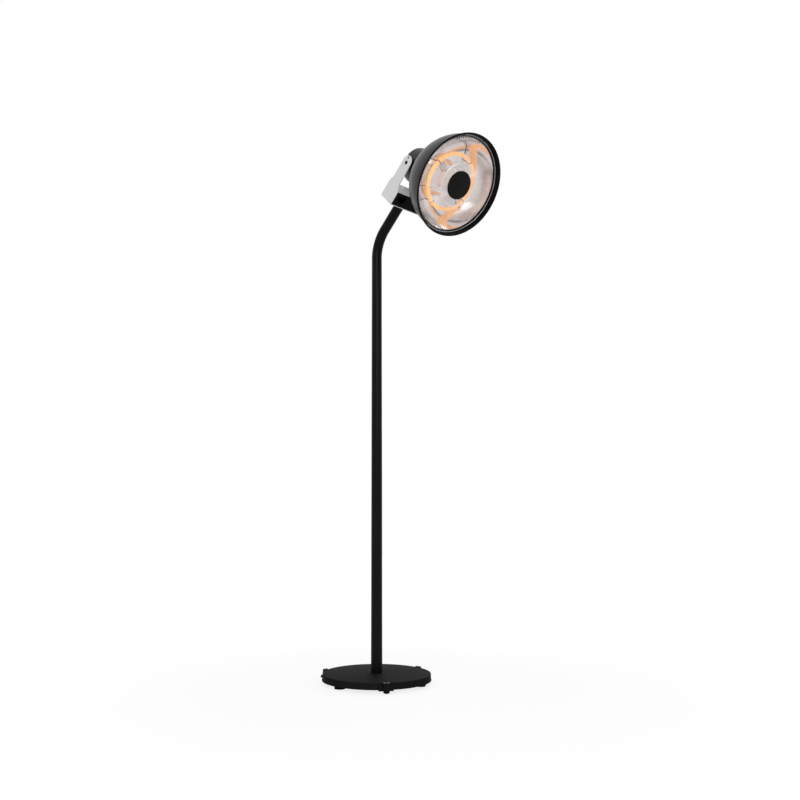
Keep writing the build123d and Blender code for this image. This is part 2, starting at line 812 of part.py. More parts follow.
with BuildPart() as lamp_element:
    with BuildSketch(profile_frame):
        with Locations((lamp_radius, lamp_depth)):
            Circle(tube_radius - tube_wall - seat_gap)
    revolve(axis=head_axis)
export("lamp_element", lamp_element.part)

clip_inner = tube_radius + seat_gap
clip_outer = clip_inner + clip_thickness
for number, azimuth in enumerate(spread(clip_azimuth, clip_count), start=1):
    stem_foot = bowl_surface(lamp_radius + clip_thickness) - seat_gap
    with BuildPart() as lamp_clip:
        with BuildSketch(head_ray(azimuth)):
            with Locations((lamp_radius, (lamp_depth + stem_foot) / 2)):
                Rectangle(2 * clip_thickness, stem_foot - lamp_depth)
            with Locations((lamp_radius, lamp_depth)):
                Circle(clip_outer)
                Circle(clip_inner, mode=Mode.SUBTRACT)
        extrude(amount=clip_width / 2, both=True)
    export(f"lamp_clip_{number}", lamp_clip.part)

socket_ray = head_ray(socket_azimuth)
socket_outer = socket_inner + socket_length
socket_back = middle_depth - bracket_sheet
socket_front = socket_back - socket_height
with BuildPart() as lamp_socket:
    with BuildSketch(socket_ray):
        with Locations(((socket_inner + socket_outer) / 2, (socket_front + socket_back) / 2)):
            Rectangle(socket_length, socket_height)
    extrude(amount=socket_width / 2, both=True)
    chamfer(lamp_socket.faces().sort_by(Axis(rim_centre, look))[-1].edges(), length=socket_chamfer)
export("lamp_socket", lamp_socket.part)

with BuildPart() as socket_bracket:
    with BuildSketch(socket_ray):
        with Locations((socket_outer - (socket_length + bracket_reach) / 2, socket_back + bracket_sheet / 2)):
            Rectangle(socket_length + bracket_reach, bracket_sheet)
    extrude(amount=bracket_width / 2, both=True)
export("socket_bracket", socket_bracket.part)

with BuildPart() as lamp_leads:
    lead_plane = Plane(
        origin=rim_centre + socket_ray.x_dir * socket_outer - look * (lamp_depth + lead_radius),
        x_dir=socket_ray.z_dir,
        z_dir=socket_ray.x_dir,
    )
    with BuildSketch(lead_plane):
        with Locations((-lead_spacing / 2, 0), (lead_spacing / 2, 0)):
            Circle(lead_radius)
    extrude(amount=lamp_radius - tube_radius - socket_outer - 2 * seat_gap)
export("lamp_leads", lamp_leads.part)

standoff_front = middle_depth + reflector_sheet
standoff_back = land_depth - shell_sheet
for number, spot in enumerate(standoff_spots, start=1):
    with BuildPart() as standoff:
        with BuildSketch(head_plane(standoff_front)):
            with Locations(spot):
                Circle(standoff_radius)
        extrude(amount=standoff_front - standoff_back)
        with BuildSketch(head_plane(standoff_front)):
            with Locations(spot):
                Circle(plate_screw_radius + pin_gap)
        extrude(amount=-plate_screw_length, mode=Mode.SUBTRACT)
    export(f"standoff_{number}", standoff.part)

plate_screws = screws(
    head_plane(middle_depth),
    standoff_spots,
    plate_screw_radius,
    plate_screw_length,
    small_screw_radius,
    small_screw_height,
)
export("plate_screws", plate_screws)

with BuildPart() as heat_shield:
    with BuildSketch(head_plane(shield_depth)):
        Circle(shield_radius)
        with Locations(*standoff_spots):
            Circle(standoff_radius + seat_gap, mode=Mode.SUBTRACT)
    extrude(amount=-shield_sheet)
export("heat_shield", heat_shield.part)

# ---------------------------------------------------------------- head: rear can
with BuildPart() as rear_can:
    with BuildSketch(can_frame):
        with BuildLine():
            Polyline(
                (can_radius - can_fillet, can_rear_depth),
                (can_mouth, can_rear_depth),
                (can_mouth, can_rear_depth - can_wall),
                (can_radius - can_wall, can_rear_depth - can_wall),
                (can_radius - can_wall, land_depth),
                (can_radius, land_depth),
                (can_radius, can_rear_depth - can_fillet),
            )
            RadiusArc(
                (can_radius, can_rear_depth - can_fillet),
                (can_radius - can_fillet, can_rear_depth),
                -can_fillet,
            )
        make_face()
    revolve(axis=can_axis)
    for side in (-1, 1):
        boss_middle = pivot + Vector(side * boss_face, 0, 0)
        boss_plane = Plane(origin=boss_middle, x_dir=along, z_dir=(side, 0, 0))
        with BuildSketch(boss_plane):
            Circle(boss_radius)
        extrude(amount=-boss_depth)
        with BuildSketch(boss_plane):
            Circle(pivot_radius + pin_gap)
        extrude(amount=-boss_depth, mode=Mode.SUBTRACT)
export("rear_can", rear_can.part)

lid_screw_spots = [polar(lid_screw_circle, azimuth) for azimuth in spread(45, 4)]
gland_spot = (0, lid_gland_height)
gland_hole = gland_radius - grommet_lip
with BuildPart() as can_lid:
    with BuildSketch(can_plane(can_rear_depth)):
        Circle(lid_radius)
        with Locations(*lid_screw_spots):
            Circle(cover_screw_radius + pin_gap, mode=Mode.SUBTRACT)
        with Locations(gland_spot):
            Circle(gland_hole, mode=Mode.SUBTRACT)
    extrude(amount=lid_thickness)
    lid_edge = can_lid.edges().group_by(Axis(rim_centre, -look))[-1].sort_by(SortBy.RADIUS)[-1]
    chamfer(lid_edge, length=lid_thickness / 2)
export("can_lid", can_lid.part)

lid_screws = screws(
    can_plane(can_rear_depth + lid_thickness),
    lid_screw_spots,
    cover_screw_radius,
    lid_thickness,
    small_screw_radius,
    small_screw_height,
)
export("lid_screws", lid_screws)

with BuildPart() as head_gland:
    with BuildSketch(can_plane(can_rear_depth)):
        with Locations(gland_spot):
            Circle(gland_hole - seat_gap)
            Circle(gland_bore, mode=Mode.SUBTRACT)
    extrude(amount=lid_thickness + gland_length)
    with BuildSketch(can_plane(can_rear_depth + lid_thickness)):
        with Locations(gland_spot):
            RegularPolygon(gland_radius, 6)
            Circle(gland_bore, mode=Mode.SUBTRACT)
    extrude(amount=gland_length / 2)
export("head_gland", head_gland.part)

with BuildPart() as head_terminal:
    with BuildSketch(can_plane(can_rear_depth)):
        with Locations((0, -lid_gland_height / 2)):
            Rectangle(strip_length, strip_height)
    extrude(amount=-strip_depth)
export("head_terminal", head_terminal.part)
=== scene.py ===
"""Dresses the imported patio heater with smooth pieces, finishes, a camera and soft studio light."""

import json
import logging
from dataclasses import dataclass
from enum import Enum
from math import asin, cos, degrees, hypot, pi, radians, sin, sqrt, tan
from typing import Iterable, Sequence

import bmesh
import bpy
from mathutils import Matrix, Vector


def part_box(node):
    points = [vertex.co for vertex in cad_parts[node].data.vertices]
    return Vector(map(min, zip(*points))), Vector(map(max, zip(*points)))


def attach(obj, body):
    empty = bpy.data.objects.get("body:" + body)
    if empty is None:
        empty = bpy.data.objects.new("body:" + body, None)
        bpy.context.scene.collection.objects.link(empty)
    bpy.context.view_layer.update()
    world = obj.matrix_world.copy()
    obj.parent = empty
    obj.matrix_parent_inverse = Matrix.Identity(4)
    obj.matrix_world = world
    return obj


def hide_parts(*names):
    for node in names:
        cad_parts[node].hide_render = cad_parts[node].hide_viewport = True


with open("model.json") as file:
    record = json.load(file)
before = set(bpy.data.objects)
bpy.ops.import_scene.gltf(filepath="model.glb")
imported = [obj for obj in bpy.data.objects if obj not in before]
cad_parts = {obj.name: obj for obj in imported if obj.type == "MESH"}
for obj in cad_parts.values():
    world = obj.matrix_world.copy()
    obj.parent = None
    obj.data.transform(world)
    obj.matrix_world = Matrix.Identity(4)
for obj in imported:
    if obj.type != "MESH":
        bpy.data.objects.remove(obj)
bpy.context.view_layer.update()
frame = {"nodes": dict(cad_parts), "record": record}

LOG = logging.getLogger("patio_heater")
MM = 0.001
ON_AXIS = 1e-6  # radius, in millimetres, under which a profile's point lies on the axis
MOST_CUT = 0.49  # largest share of an edge that the rounding of one corner takes
BOWL_STEPS = 48  # stretches in the long arc of the shell's or the mirror's profile
WHITE = (1.0, 1.0, 1.0, 1.0)

Point2 = tuple[float, float]
Colour = tuple[float, float, float]


# ------------------------------------------------------------------ frames
@dataclass(frozen=True)
class Station:
    """A turned piece's own frame: an origin, the axis it is turned about and a side direction."""

    origin: Vector
    axis: Vector
    side: Vector

    @property
    def cross(self) -> Vector:
        """The direction square to both the axis and the side."""
        return self.axis.cross(self.side)

    def point(self, radius: float, depth: float, angle: float = 0.0) -> Vector:
        """Place a point from cylindrical sizes.

        Args:
            radius: Distance from the axis, in millimetres.
            depth: Distance along the axis, in millimetres.
            angle: Angle from the side direction, in radians.

        Returns:
            The point in the row frame, in metres.
        """
        spoke = self.side * cos(angle) + self.cross * sin(angle)
        return self.origin + (spoke * radius + self.axis * depth) * MM


def stand_station() -> Station:
    """The stand's own frame: origin on the floor under the pole, axis upwards.

    Returns:
        The station of everything turned about the pole's axis.
    """
    low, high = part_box("escutcheon")
    middle = (low + high) / 2
    return Station(Vector((middle.x, middle.y, 0.0)), Vector((0, 0, 1)), Vector((0, -1, 0)))


def head_station(tilt: float, reach: float) -> Station:
    """The head's own frame: origin in the plane of the front rim, axis backwards.

    Args:
        tilt: Angle of the head's axis below the horizontal, in degrees.
        reach: Distance from the tilt axis to the rim's plane, in millimetres.

    Returns:
        The station of everything turned about the head's axis.
    """
    joints = {joint["name"]: joint for joint in frame["record"]["behaviour"]["joints"]}
    pivot = Vector(joints["head_tilt"]["pos_m"])
    look = Vector((0, -cos(radians(tilt)), -sin(radians(tilt))))
    return Station(pivot + look * reach * MM, -look, Vector((1, 0, 0)))


# ------------------------------------------------------------------ mesh making
def new_piece(
    name: str,
    points: Iterable[Vector],
    faces: Sequence[Sequence[int]],
    sharp: float = 32.0,
) -> bpy.types.Object:
    """Make one smooth-shaded mesh object.

    Args:
        name: Name of the piece.
        points: Its vertices in the row frame, in metres.
        faces: Vertex numbers of each face.
        sharp: Edges that turn by more than this many degrees stay crisp.

    Returns:
        The new object, linked to the scene.
    """
    mesh = bpy.data.meshes.new(name)
    mesh.from_pydata([tuple(p) for p in points], [], faces)
    mesh.validate()
    mesh.shade_smooth()
    mesh.set_sharp_from_angle(angle=radians(sharp))
    piece = bpy.data.objects.new(name, mesh)
    bpy.context.scene.collection.objects.link(piece)
    return piece


def arc(centre: Point2, radii: Point2, first: float, last: float, steps: int) -> list[Point2]:
    """Points of an elliptical arc in a profile.

    Args:
        centre: Centre of the ellipse.
        radii: Its two half sizes.
        first: First angle, in degrees.
        last: Last angle, in degrees.
        steps: Number of stretches.

    Returns:
        The points from the first angle to the last.
    """
    turns = [radians(first + (last - first) * n / steps) for n in range(steps + 1)]
    return [(centre[0] + radii[0] * cos(t), centre[1] + radii[1] * sin(t)) for t in turns]


def softened(
    corners: Sequence[tuple[float, float, float]],
    closed: bool = True,
    steps: int = 4,
) -> list[Point2]:
    """Round the corners of a profile, each by its own radius.

    Args:
        corners: Points as (x, y, radius of the rounding), where 0 keeps the corner.
        closed: Whether the profile returns to its start.
        steps: Stretches in each rounding.

    Returns:
        The rounded profile.
    """
    out: list[Point2] = []
    count = len(corners)
    for n, (x, y, size) in enumerate(corners):
        if size <= 0 or (not closed and n in (0, count - 1)):
            out.append((x, y))
            continue
        here = Vector((x, y))
        to_last = Vector(corners[n - 1][:2]) - here
        to_next = Vector(corners[(n + 1) % count][:2]) - here
        opening = to_last.angle(to_next)
        cut = min(size / tan(opening / 2), MOST_CUT * to_last.length, MOST_CUT * to_next.length)
        start = here + to_last.normalized() * cut
        end = here + to_next.normalized() * cut
        for k in range(steps + 1):
            t = k / steps
            bend = start * (1 - t) ** 2 + here * 2 * t * (1 - t) + end * t**2
            out.append((bend.x, bend.y))
    return out


def turned(
    name: str,
    station: Station,
    profile: Sequence[Point2],
    around: int = 192,
) -> bpy.types.Object:
    """Turn a closed profile about a station's axis.

    Args:
        name: Name of the piece.
        station: Where and about what axis it is turned.
        profile: Points as (radius, depth), in millimetres; a radius of 0 closes the piece on its axis.
        around: Stretches round the axis.

    Returns:
        The turned piece.
    """
    points: list[Vector] = []
    rings: list[list[int]] = []
    for radius, depth in profile:
        if radius < ON_AXIS:
            rings.append([len(points)] * around)
            points.append(station.point(0, depth))
            continue
        rings.append(list(range(len(points), len(points) + around)))
        points.extend(station.point(radius, depth, 2 * pi * n / around) for n in range(around))
    faces: list[list[int]] = []
    for k, ring in enumerate(rings):
        following = rings[(k + 1) % len(rings)]
        for n in range(around):
            m = (n + 1) % around
            loop = list(dict.fromkeys([ring[n], ring[m], following[m], following[n]]))
            if len(loop) > 2:
                faces.append(loop)
    return outward(new_piece(name, points, faces))


def outward(piece: bpy.types.Object) -> bpy.types.Object:
    """Turn every face of a closed piece outwards.

    Args:
        piece: The piece, whose mesh is changed.

    Returns:
        The same piece.
    """
    work = bmesh.new()
    work.from_mesh(piece.data)
    bmesh.ops.recalc_face_normals(work, faces=work.faces)
    work.to_mesh(piece.data)
    work.free()
    return piece


def swept(name: str, path: Sequence[Vector], section: Sequence[Point2]) -> bpy.types.Object:
    """Carry a closed section along an open path without twisting it.

    Args:
        name: Name of the piece.
        path: Points in the row frame, in metres.
        section: Section points, in millimetres.

    Returns:
        The swept piece, capped at its ends.
    """
    count, size = len(path), len(section)
    tangents = []
    for n in range(count):
        ahead, behind = path[min(n + 1, count - 1)], path[max(n - 1, 0)]
        tangents.append((ahead - behind).normalized())
    side = tangents[0].orthogonal().normalized()
    points: list[Vector] = []
    for n in range(count):
        side = (side - tangents[n] * side.dot(tangents[n])).normalized()
        up = tangents[n].cross(side)
        points.extend(path[n] + (side * x + up * y) * MM for x, y in section)
    faces: list[list[int]] = []
    for n in range(count - 1):
        a, b = n * size, (n + 1) * size
        faces.extend([a + k, a + (k + 1) % size, b + (k + 1) % size, b + k] for k in range(size))
    faces.append(list(range(size))[::-1])
    faces.append([(count - 1) * size + k for k in range(size)])
    return outward(new_piece(name, points, faces))


def round_section(radius: float, steps: int = 10) -> list[Point2]:
    """A round section for a wire or a tube."""
    return [(radius * cos(2 * pi * n / steps), radius * sin(2 * pi * n / steps)) for n in range(steps)]


def joined(name: str, pieces: Sequence[bpy.types.Object]) -> bpy.types.Object:
    """Join several meshes into one piece.

    Args:
        name: Name of the joined piece.
        pieces: The objects to join; each is removed once copied into the new piece.

    Returns:
        The joined object.
    """
    points: list[Vector] = []
    faces: list[list[int]] = []
    for piece in pieces:
        start = len(points)
        points.extend(v.co.copy() for v in piece.data.vertices)
        faces.extend([start + v for v in polygon.vertices] for polygon in piece.data.polygons)
        old = piece.data
        bpy.data.objects.remove(piece)
        bpy.data.meshes.remove(old)
    return new_piece(name, points, faces)


# ------------------------------------------------------------------ shared effects
class Effect:
    """Shader node groups that several finishes share, each built once."""

    _made: dict[str, bpy.types.NodeTree] = {}

    @classmethod
    def _group(cls, name: str, inputs: dict[str, float], outputs: Sequence[str]) -> bpy.types.NodeTree:
        """Start a group with number inputs and number outputs.

        Args:
            name: Name of the group.
            inputs: Each input's name with its usual value.
            outputs: Names of the outputs.

        Returns:
            The group, without its inner nodes yet.
        """
        tree = bpy.data.node_groups.new(name, "ShaderNodeTree")
        for label, value in inputs.items():
            socket = tree.interface.new_socket(label, in_out="INPUT", socket_type="NodeSocketFloat")
            socket.default_value = value
        for label in outputs:
            tree.interface.new_socket(label, in_out="OUTPUT", socket_type="NodeSocketFloat")
        cls._made[name] = tree
        return tree

    @classmethod
    def grain(cls) -> bpy.types.NodeTree:
        """Fine texture of powder coat, rubber or moulded plastic.

        Returns:
            A group with inputs Scale and Smudge, and outputs Height and Tone.
        """
        if "coat_grain" in cls._made:
            return cls._made["coat_grain"]
        tree = cls._group("coat_grain", {"Scale": 900.0, "Smudge": 6.0}, ("Height", "Tone"))
        put, link = tree.nodes.new, tree.links.new
        start, end = put("NodeGroupInput"), put("NodeGroupOutput")
        place = put("ShaderNodeTexCoord")
        fine, wide = put("ShaderNodeTexNoise"), put("ShaderNodeTexNoise")
        fine.inputs["Detail"].default_value = 2.0
        wide.inputs["Detail"].default_value = 4.0
        link(place.outputs["Object"], fine.inputs["Vector"])
        link(place.outputs["Object"], wide.inputs["Vector"])
        link(start.outputs["Scale"], fine.inputs["Scale"])
        link(start.outputs["Smudge"], wide.inputs["Scale"])
        link(fine.outputs["Fac"], end.inputs["Height"])
        link(wide.outputs["Fac"], end.inputs["Tone"])
        return tree

    @classmethod
    def lay(cls) -> bpy.types.NodeTree:
        """Long fine lines of rolled or drawn metal, along the row's X.

        Returns:
            A group with inputs Lines and Length, and outputs Height and Tone.
        """
        if "metal_lay" in cls._made:
            return cls._made["metal_lay"]
        tree = cls._group("metal_lay", {"Lines": 700.0, "Length": 12.0}, ("Height", "Tone"))
        put, link = tree.nodes.new, tree.links.new
        start, end = put("NodeGroupInput"), put("NodeGroupOutput")
        place = put("ShaderNodeTexCoord")
        apart, pack = put("ShaderNodeSeparateXYZ"), put("ShaderNodeCombineXYZ")
        link(place.outputs["Object"], apart.inputs["Vector"])
        for label, source in (("X", "Length"), ("Y", "Lines"), ("Z", "Lines")):
            times = put("ShaderNodeMath")
            times.operation = "MULTIPLY"
            link(apart.outputs[label], times.inputs[0])
            link(start.outputs[source], times.inputs[1])
            link(times.outputs["Value"], pack.inputs[label])
        noise = put("ShaderNodeTexNoise")
        noise.inputs["Scale"].default_value = 1.0
        noise.inputs["Detail"].default_value = 3.0
        link(pack.outputs["Vector"], noise.inputs["Vector"])
        link(noise.outputs["Fac"], end.inputs["Height"])
        link(noise.outputs["Fac"], end.inputs["Tone"])
        return tree


# ------------------------------------------------------------------ finishes
COAT_ROUGHNESS = 0.12
TONE_STOPS = (0.35, 0.65)  # tones of the fine texture at which the two colours are reached
GLOSS_STOPS = (0.3, 0.7)  # tones at which the two roughnesses are reached
RELIEF_DEPTH = 0.0005  # of the fine texture, in metres


class Lay(Enum):
    """The kind of fine texture on a surface."""

    GRAIN = "grain"
    LINES = "lines"


@dataclass(frozen=True)
class Finish:
    """One surface finish: its colours, gloss and fine texture.

    The two colours and the two roughnesses are the ends that the fine texture varies between. Its
    scale is how fine the grain or the lines are, and its reach how short the smudges or the lines are.
    """

    name: str
    dark: Colour
    light: Colour
    rough: Point2
    metallic: float = 0.0
    specular: float = 0.5
    lay: Lay = Lay.GRAIN
    scale: float = 900.0
    reach: float = 6.0
    relief: float = 0.02
    coat: float = 0.0
    glow: float = 0.0

    def material(self) -> bpy.types.Material:
        """Build the finish's node material, or return it if it is built already.

        Returns:
            The material.
        """
        found = bpy.data.materials.get(self.name)
        if found:
            return found
        made = bpy.data.materials.new(self.name)
        made.use_nodes = True
        tree = made.node_tree
        shader = tree.nodes["Principled BSDF"]
        shader.inputs["Metallic"].default_value = self.metallic
        shader.inputs["Specular IOR Level"].default_value = self.specular
        shader.inputs["Coat Weight"].default_value = self.coat
        shader.inputs["Coat Roughness"].default_value = COAT_ROUGHNESS
        effect = tree.nodes.new("ShaderNodeGroup")
        if self.lay is Lay.GRAIN:
            effect.node_tree = Effect.grain()
            effect.inputs["Scale"].default_value = self.scale
            effect.inputs["Smudge"].default_value = self.reach
        else:
            effect.node_tree = Effect.lay()
            effect.inputs["Lines"].default_value = self.scale
            effect.inputs["Length"].default_value = self.reach
        tone = tree.nodes.new("ShaderNodeValToRGB")
        for stop, place, colour in zip(tone.color_ramp.elements, TONE_STOPS, (self.dark, self.light)):
            stop.position = place
            stop.color = (*colour, 1.0)
        gloss = tree.nodes.new("ShaderNodeMapRange")
        gloss.inputs["From Min"].default_value, gloss.inputs["From Max"].default_value = GLOSS_STOPS
        gloss.inputs["To Min"].default_value, gloss.inputs["To Max"].default_value = self.rough
        bump = tree.nodes.new("ShaderNodeBump")
        bump.inputs["Strength"].default_value = self.relief
        bump.inputs["Distance"].default_value = RELIEF_DEPTH
        link = tree.links.new
        link(effect.outputs["Tone"], tone.inputs["Fac"])
        link(effect.outputs["Tone"], gloss.inputs["Value"])
        link(effect.outputs["Height"], bump.inputs["Height"])
        link(tone.outputs["Color"], shader.inputs["Base Color"])
        link(gloss.outputs["Result"], shader.inputs["Roughness"])
        link(bump.outputs["Normal"], shader.inputs["Normal"])
        # The glow is the heating element's own light, and painted lamp light on the hub plate.
        if self.glow > 0:
            link(tone.outputs["Color"], shader.inputs["Emission Color"])
            shader.inputs["Emission Strength"].default_value = self.glow
        return made


@dataclass(frozen=True)
class QuartzGlass:
    """Clear lamp glass that lets the glow through."""

    name: str = "quartz_glass"
    dark: Colour = (1.0, 0.9, 0.78)
    light: Colour = (1.0, 0.95, 0.88)
    rough: float = 0.05
    ior: float = 1.12
    scale: float = 60.0

    def material(self) -> bpy.types.Material:
        """Build the glass, or return it if it is built already.

        Returns:
            The material.
        """
        found = bpy.data.materials.get(self.name)
        if found:
            return found
        made = bpy.data.materials.new(self.name)
        made.use_nodes = True
        tree = made.node_tree
        shader = tree.nodes["Principled BSDF"]
        shader.inputs["Transmission Weight"].default_value = 1.0
        shader.inputs["IOR"].default_value = self.ior
        shader.inputs["Roughness"].default_value = self.rough
        effect = tree.nodes.new("ShaderNodeGroup")
        effect.node_tree = Effect.grain()
        effect.inputs["Scale"].default_value = self.scale
        tone = tree.nodes.new("ShaderNodeValToRGB")
        tone.color_ramp.elements[0].color = (*self.dark, 1.0)
        tone.color_ramp.elements[1].color = (*self.light, 1.0)
        tree.links.new(effect.outputs["Tone"], tone.inputs["Fac"])
        tree.links.new(tone.outputs["Color"], shader.inputs["Base Color"])
        return made


BLACK_COAT = Finish(
    "satin_black_coat",
    dark=(0.003, 0.003, 0.0031),
    light=(0.005, 0.005, 0.0052),
    rough=(0.24, 0.32),
    specular=0.08,
)
BASE_COAT = Finish(
    "base_black_coat",
    dark=(0.010, 0.010, 0.0102),
    light=(0.014, 0.014, 0.0143),
    rough=(0.50, 0.60),
    specular=0.006,
    relief=0.05,
)
RIM_COAT = Finish(
    "rim_coat",
    dark=(0.005, 0.005, 0.0052),
    light=(0.008, 0.008, 0.0083),
    rough=(0.34, 0.42),
    specular=0.03,
    relief=0.04,
)
HEAD_COAT = Finish(
    "head_coat",
    dark=(0.004, 0.004, 0.0042),
    light=(0.006, 0.006, 0.0063),
    rough=(0.28, 0.36),
    specular=0.30,
    relief=0.04,
)
LIGHT_SHEET = Finish(
    "light_sheet",
    dark=(0.73, 0.73, 0.735),
    light=(0.79, 0.79, 0.79),
    rough=(0.45, 0.55),
    relief=0.03,
)
BOX_PLASTIC = Finish(
    "box_plastic",
    dark=(0.003, 0.003, 0.003),
    light=(0.006, 0.006, 0.006),
    rough=(0.5, 0.62),
    specular=0.05,
    scale=1400,
)
BLACK_RUBBER = Finish(
    "soft_black_rubber",
    dark=(0.003, 0.003, 0.003),
    light=(0.006, 0.006, 0.006),
    rough=(0.65, 0.8),
    specular=0.05,
    scale=1600,
    relief=0.08,
)
MIRROR = Finish(
    "polished_mirror",
    dark=(0.84, 0.78, 0.78),
    light=(0.90, 0.86, 0.86),
    rough=(0.10, 0.16),
    metallic=1.0,
    scale=160,
    reach=9,
    relief=0.03,
)
BRIGHT_WIRE = Finish(
    "bright_wire",
    dark=(0.54, 0.54, 0.54),
    light=(0.68, 0.675, 0.67),
    rough=(0.22, 0.34),
    metallic=1.0,
    lay=Lay.LINES,
    reach=40,
)
BRIGHT_RING = Finish(
    "bright_ring",
    dark=(0.78, 0.78, 0.78),
    light=(0.90, 0.90, 0.90),
    rough=(0.20, 0.30),
    metallic=1.0,
    lay=Lay.LINES,
    reach=40,
)
# Pale plate finish with painted lamp light: a warm tint and a glow stand in for the lamp's light that
# the mirror throws onto the hub plate.
PAINTED_GLOW_PLATE = Finish(
    "painted_lamp_glow_plate",
    dark=(0.58, 0.50, 0.47),
    light=(0.66, 0.59, 0.56),
    rough=(0.5, 0.6),
    specular=0.1,
    scale=300,
    glow=0.75,
)
ZINC = Finish(
    "zinc_plate",
    dark=(0.40, 0.40, 0.39),
    light=(0.55, 0.55, 0.54),
    rough=(0.28, 0.42),
    metallic=1.0,
    scale=500,
    reach=60,
)
SPRING = Finish(
    "spring_steel",
    dark=(0.05, 0.048, 0.045),
    light=(0.09, 0.085, 0.08),
    rough=(0.35, 0.45),
    metallic=1.0,
    scale=500,
    reach=60,
)
IRON = Finish(
    "raw_casting",
    dark=(0.03, 0.03, 0.03),
    light=(0.06, 0.055, 0.05),
    rough=(0.6, 0.8),
    metallic=0.6,
    scale=400,
    relief=0.2,
)
CERAMIC = Finish(
    "glazed_ceramic",
    dark=(0.80, 0.79, 0.75),
    light=(0.88, 0.87, 0.84),
    rough=(0.25, 0.35),
    coat=0.4,
    scale=300,
)
GLOW = Finish(
    "heating_glow",
    dark=(0.84, 0.42, 0.13),
    light=(0.98, 0.52, 0.18),
    rough=(0.6, 0.7),
    specular=0.1,
    scale=300,
    reach=30,
    glow=0.78,
)
QUARTZ = QuartzGlass()

SLOT_FINISHES: dict[str, Finish | QuartzGlass] = {
    "black_coat": BLACK_COAT,
    "grey_sheet": LIGHT_SHEET,
    "shell_metal": HEAD_COAT,
    "mirror_metal": MIRROR,
    "grille_wire": BRIGHT_WIRE,
    "ballast_iron": IRON,
    "black_rubber": BLACK_RUBBER,
    "black_plastic": BOX_PLASTIC,
    "white_ceramic": CERAMIC,
    "lamp_glass": QUARTZ,
    "lamp_core": GLOW,
    "fastener_steel": ZINC,
}
NODE_FINISHES: dict[str, Finish] = {f"lamp_clip_{number}": SPRING for number in (1, 2, 3, 4)}


def dress(
    piece: bpy.types.Object,
    finish: Finish | QuartzGlass,
    body: str,
    node: str,
) -> None:
    """Give a new piece its finish, its body and the CAD node it stands for, and report it.

    Args:
        piece: The piece.
        finish: Its surface finish.
        body: The CAD body it rides on.
        node: The CAD node that it stands for.
    """
    piece.data.materials.append(finish.material())
    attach(piece, body)
    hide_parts(node)
    LOG.info("%s: %s on %s", piece.name, finish.name, body)


# ------------------------------------------------------------------ stand
@dataclass
class Stand:
    """Round base, escutcheon and bent pole, with lengths in millimetres and the lean in degrees."""

    station: Station
    radius: float = 200.0
    lip: float = 1.5
    lip_height: float = 2.5
    bottom: float = 12.0
    top: float = 35.0
    wall: float = 3.0
    pole: float = 21.2
    pole_gap: float = 0.2
    pole_steps: tuple[float, ...] = (400.0, 900.0, 1300.0)
    bend_steps: int = 32
    lean: float = 49.0
    apex: float = 1728.0
    bend: float = 148.0
    end: float = 213.5

    def build(self) -> None:
        """Build and dress the base cover, the escutcheon and the pole."""
        self.cover()
        self.collar()
        self.tube()

    def cover(self) -> None:
        """Pressed cover of the base with its rolled lip."""
        bore, inside = self.pole + self.pole_gap, self.radius - self.wall
        lip, lip_top = self.radius + self.lip, self.bottom + self.lip_height
        profile = softened(
            [
                (bore, self.top, 0.0),
                (self.radius, self.top, 2.0),
                (self.radius, lip_top, 0.6),
                (lip, lip_top, 0.7),
                (lip, self.bottom, 0.7),
                (inside, self.bottom, 0.3),
                (inside, self.top - self.wall, 1.0),
                (bore, self.top - self.wall, 0.0),
            ]
        )
        piece = turned("cover_pressing", self.station, profile, around=256)
        dress(piece, BASE_COAT, "stand", "base_cover")

    def collar(self) -> None:
        """Thin round escutcheon at the foot of the pole."""
        low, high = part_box("escutcheon")
        bore, outer, top = self.pole + self.pole_gap, (high.x - low.x) / MM / 2, high.z / MM
        profile = softened(
            [
                (bore, self.top, 0.0),
                (outer, self.top, 0.0),
                (outer, top, 0.9),
                (bore, top, 0.3),
            ]
        )
        piece = turned("pole_collar", self.station, profile, around=128)
        dress(piece, BASE_COAT, "stand", "escutcheon")

    def tube(self) -> None:
        """Pole tube, swept along its straight, bent and leaning stretches."""
        lean = radians(self.lean)
        bend_start = self.apex - self.bend * tan(lean / 2)
        forward, up = self.station.side, self.station.axis
        heights = (self.top - self.wall, *self.pole_steps, bend_start)
        path = [self.station.point(0, height) for height in heights]
        centre = self.station.origin + (up * bend_start + forward * self.bend) * MM
        for n in range(1, self.bend_steps + 1):
            turn = lean * n / self.bend_steps
            path.append(centre + (forward * -cos(turn) + up * sin(turn)) * self.bend * MM)
        rise = forward * sin(lean) + up * cos(lean)
        path.append(self.station.origin + (up * self.apex + rise * self.end) * MM)
        piece = swept("pole_bent_tube", path, round_section(self.pole, steps=64))
        dress(piece, BLACK_COAT, "stand", "pole_tube")


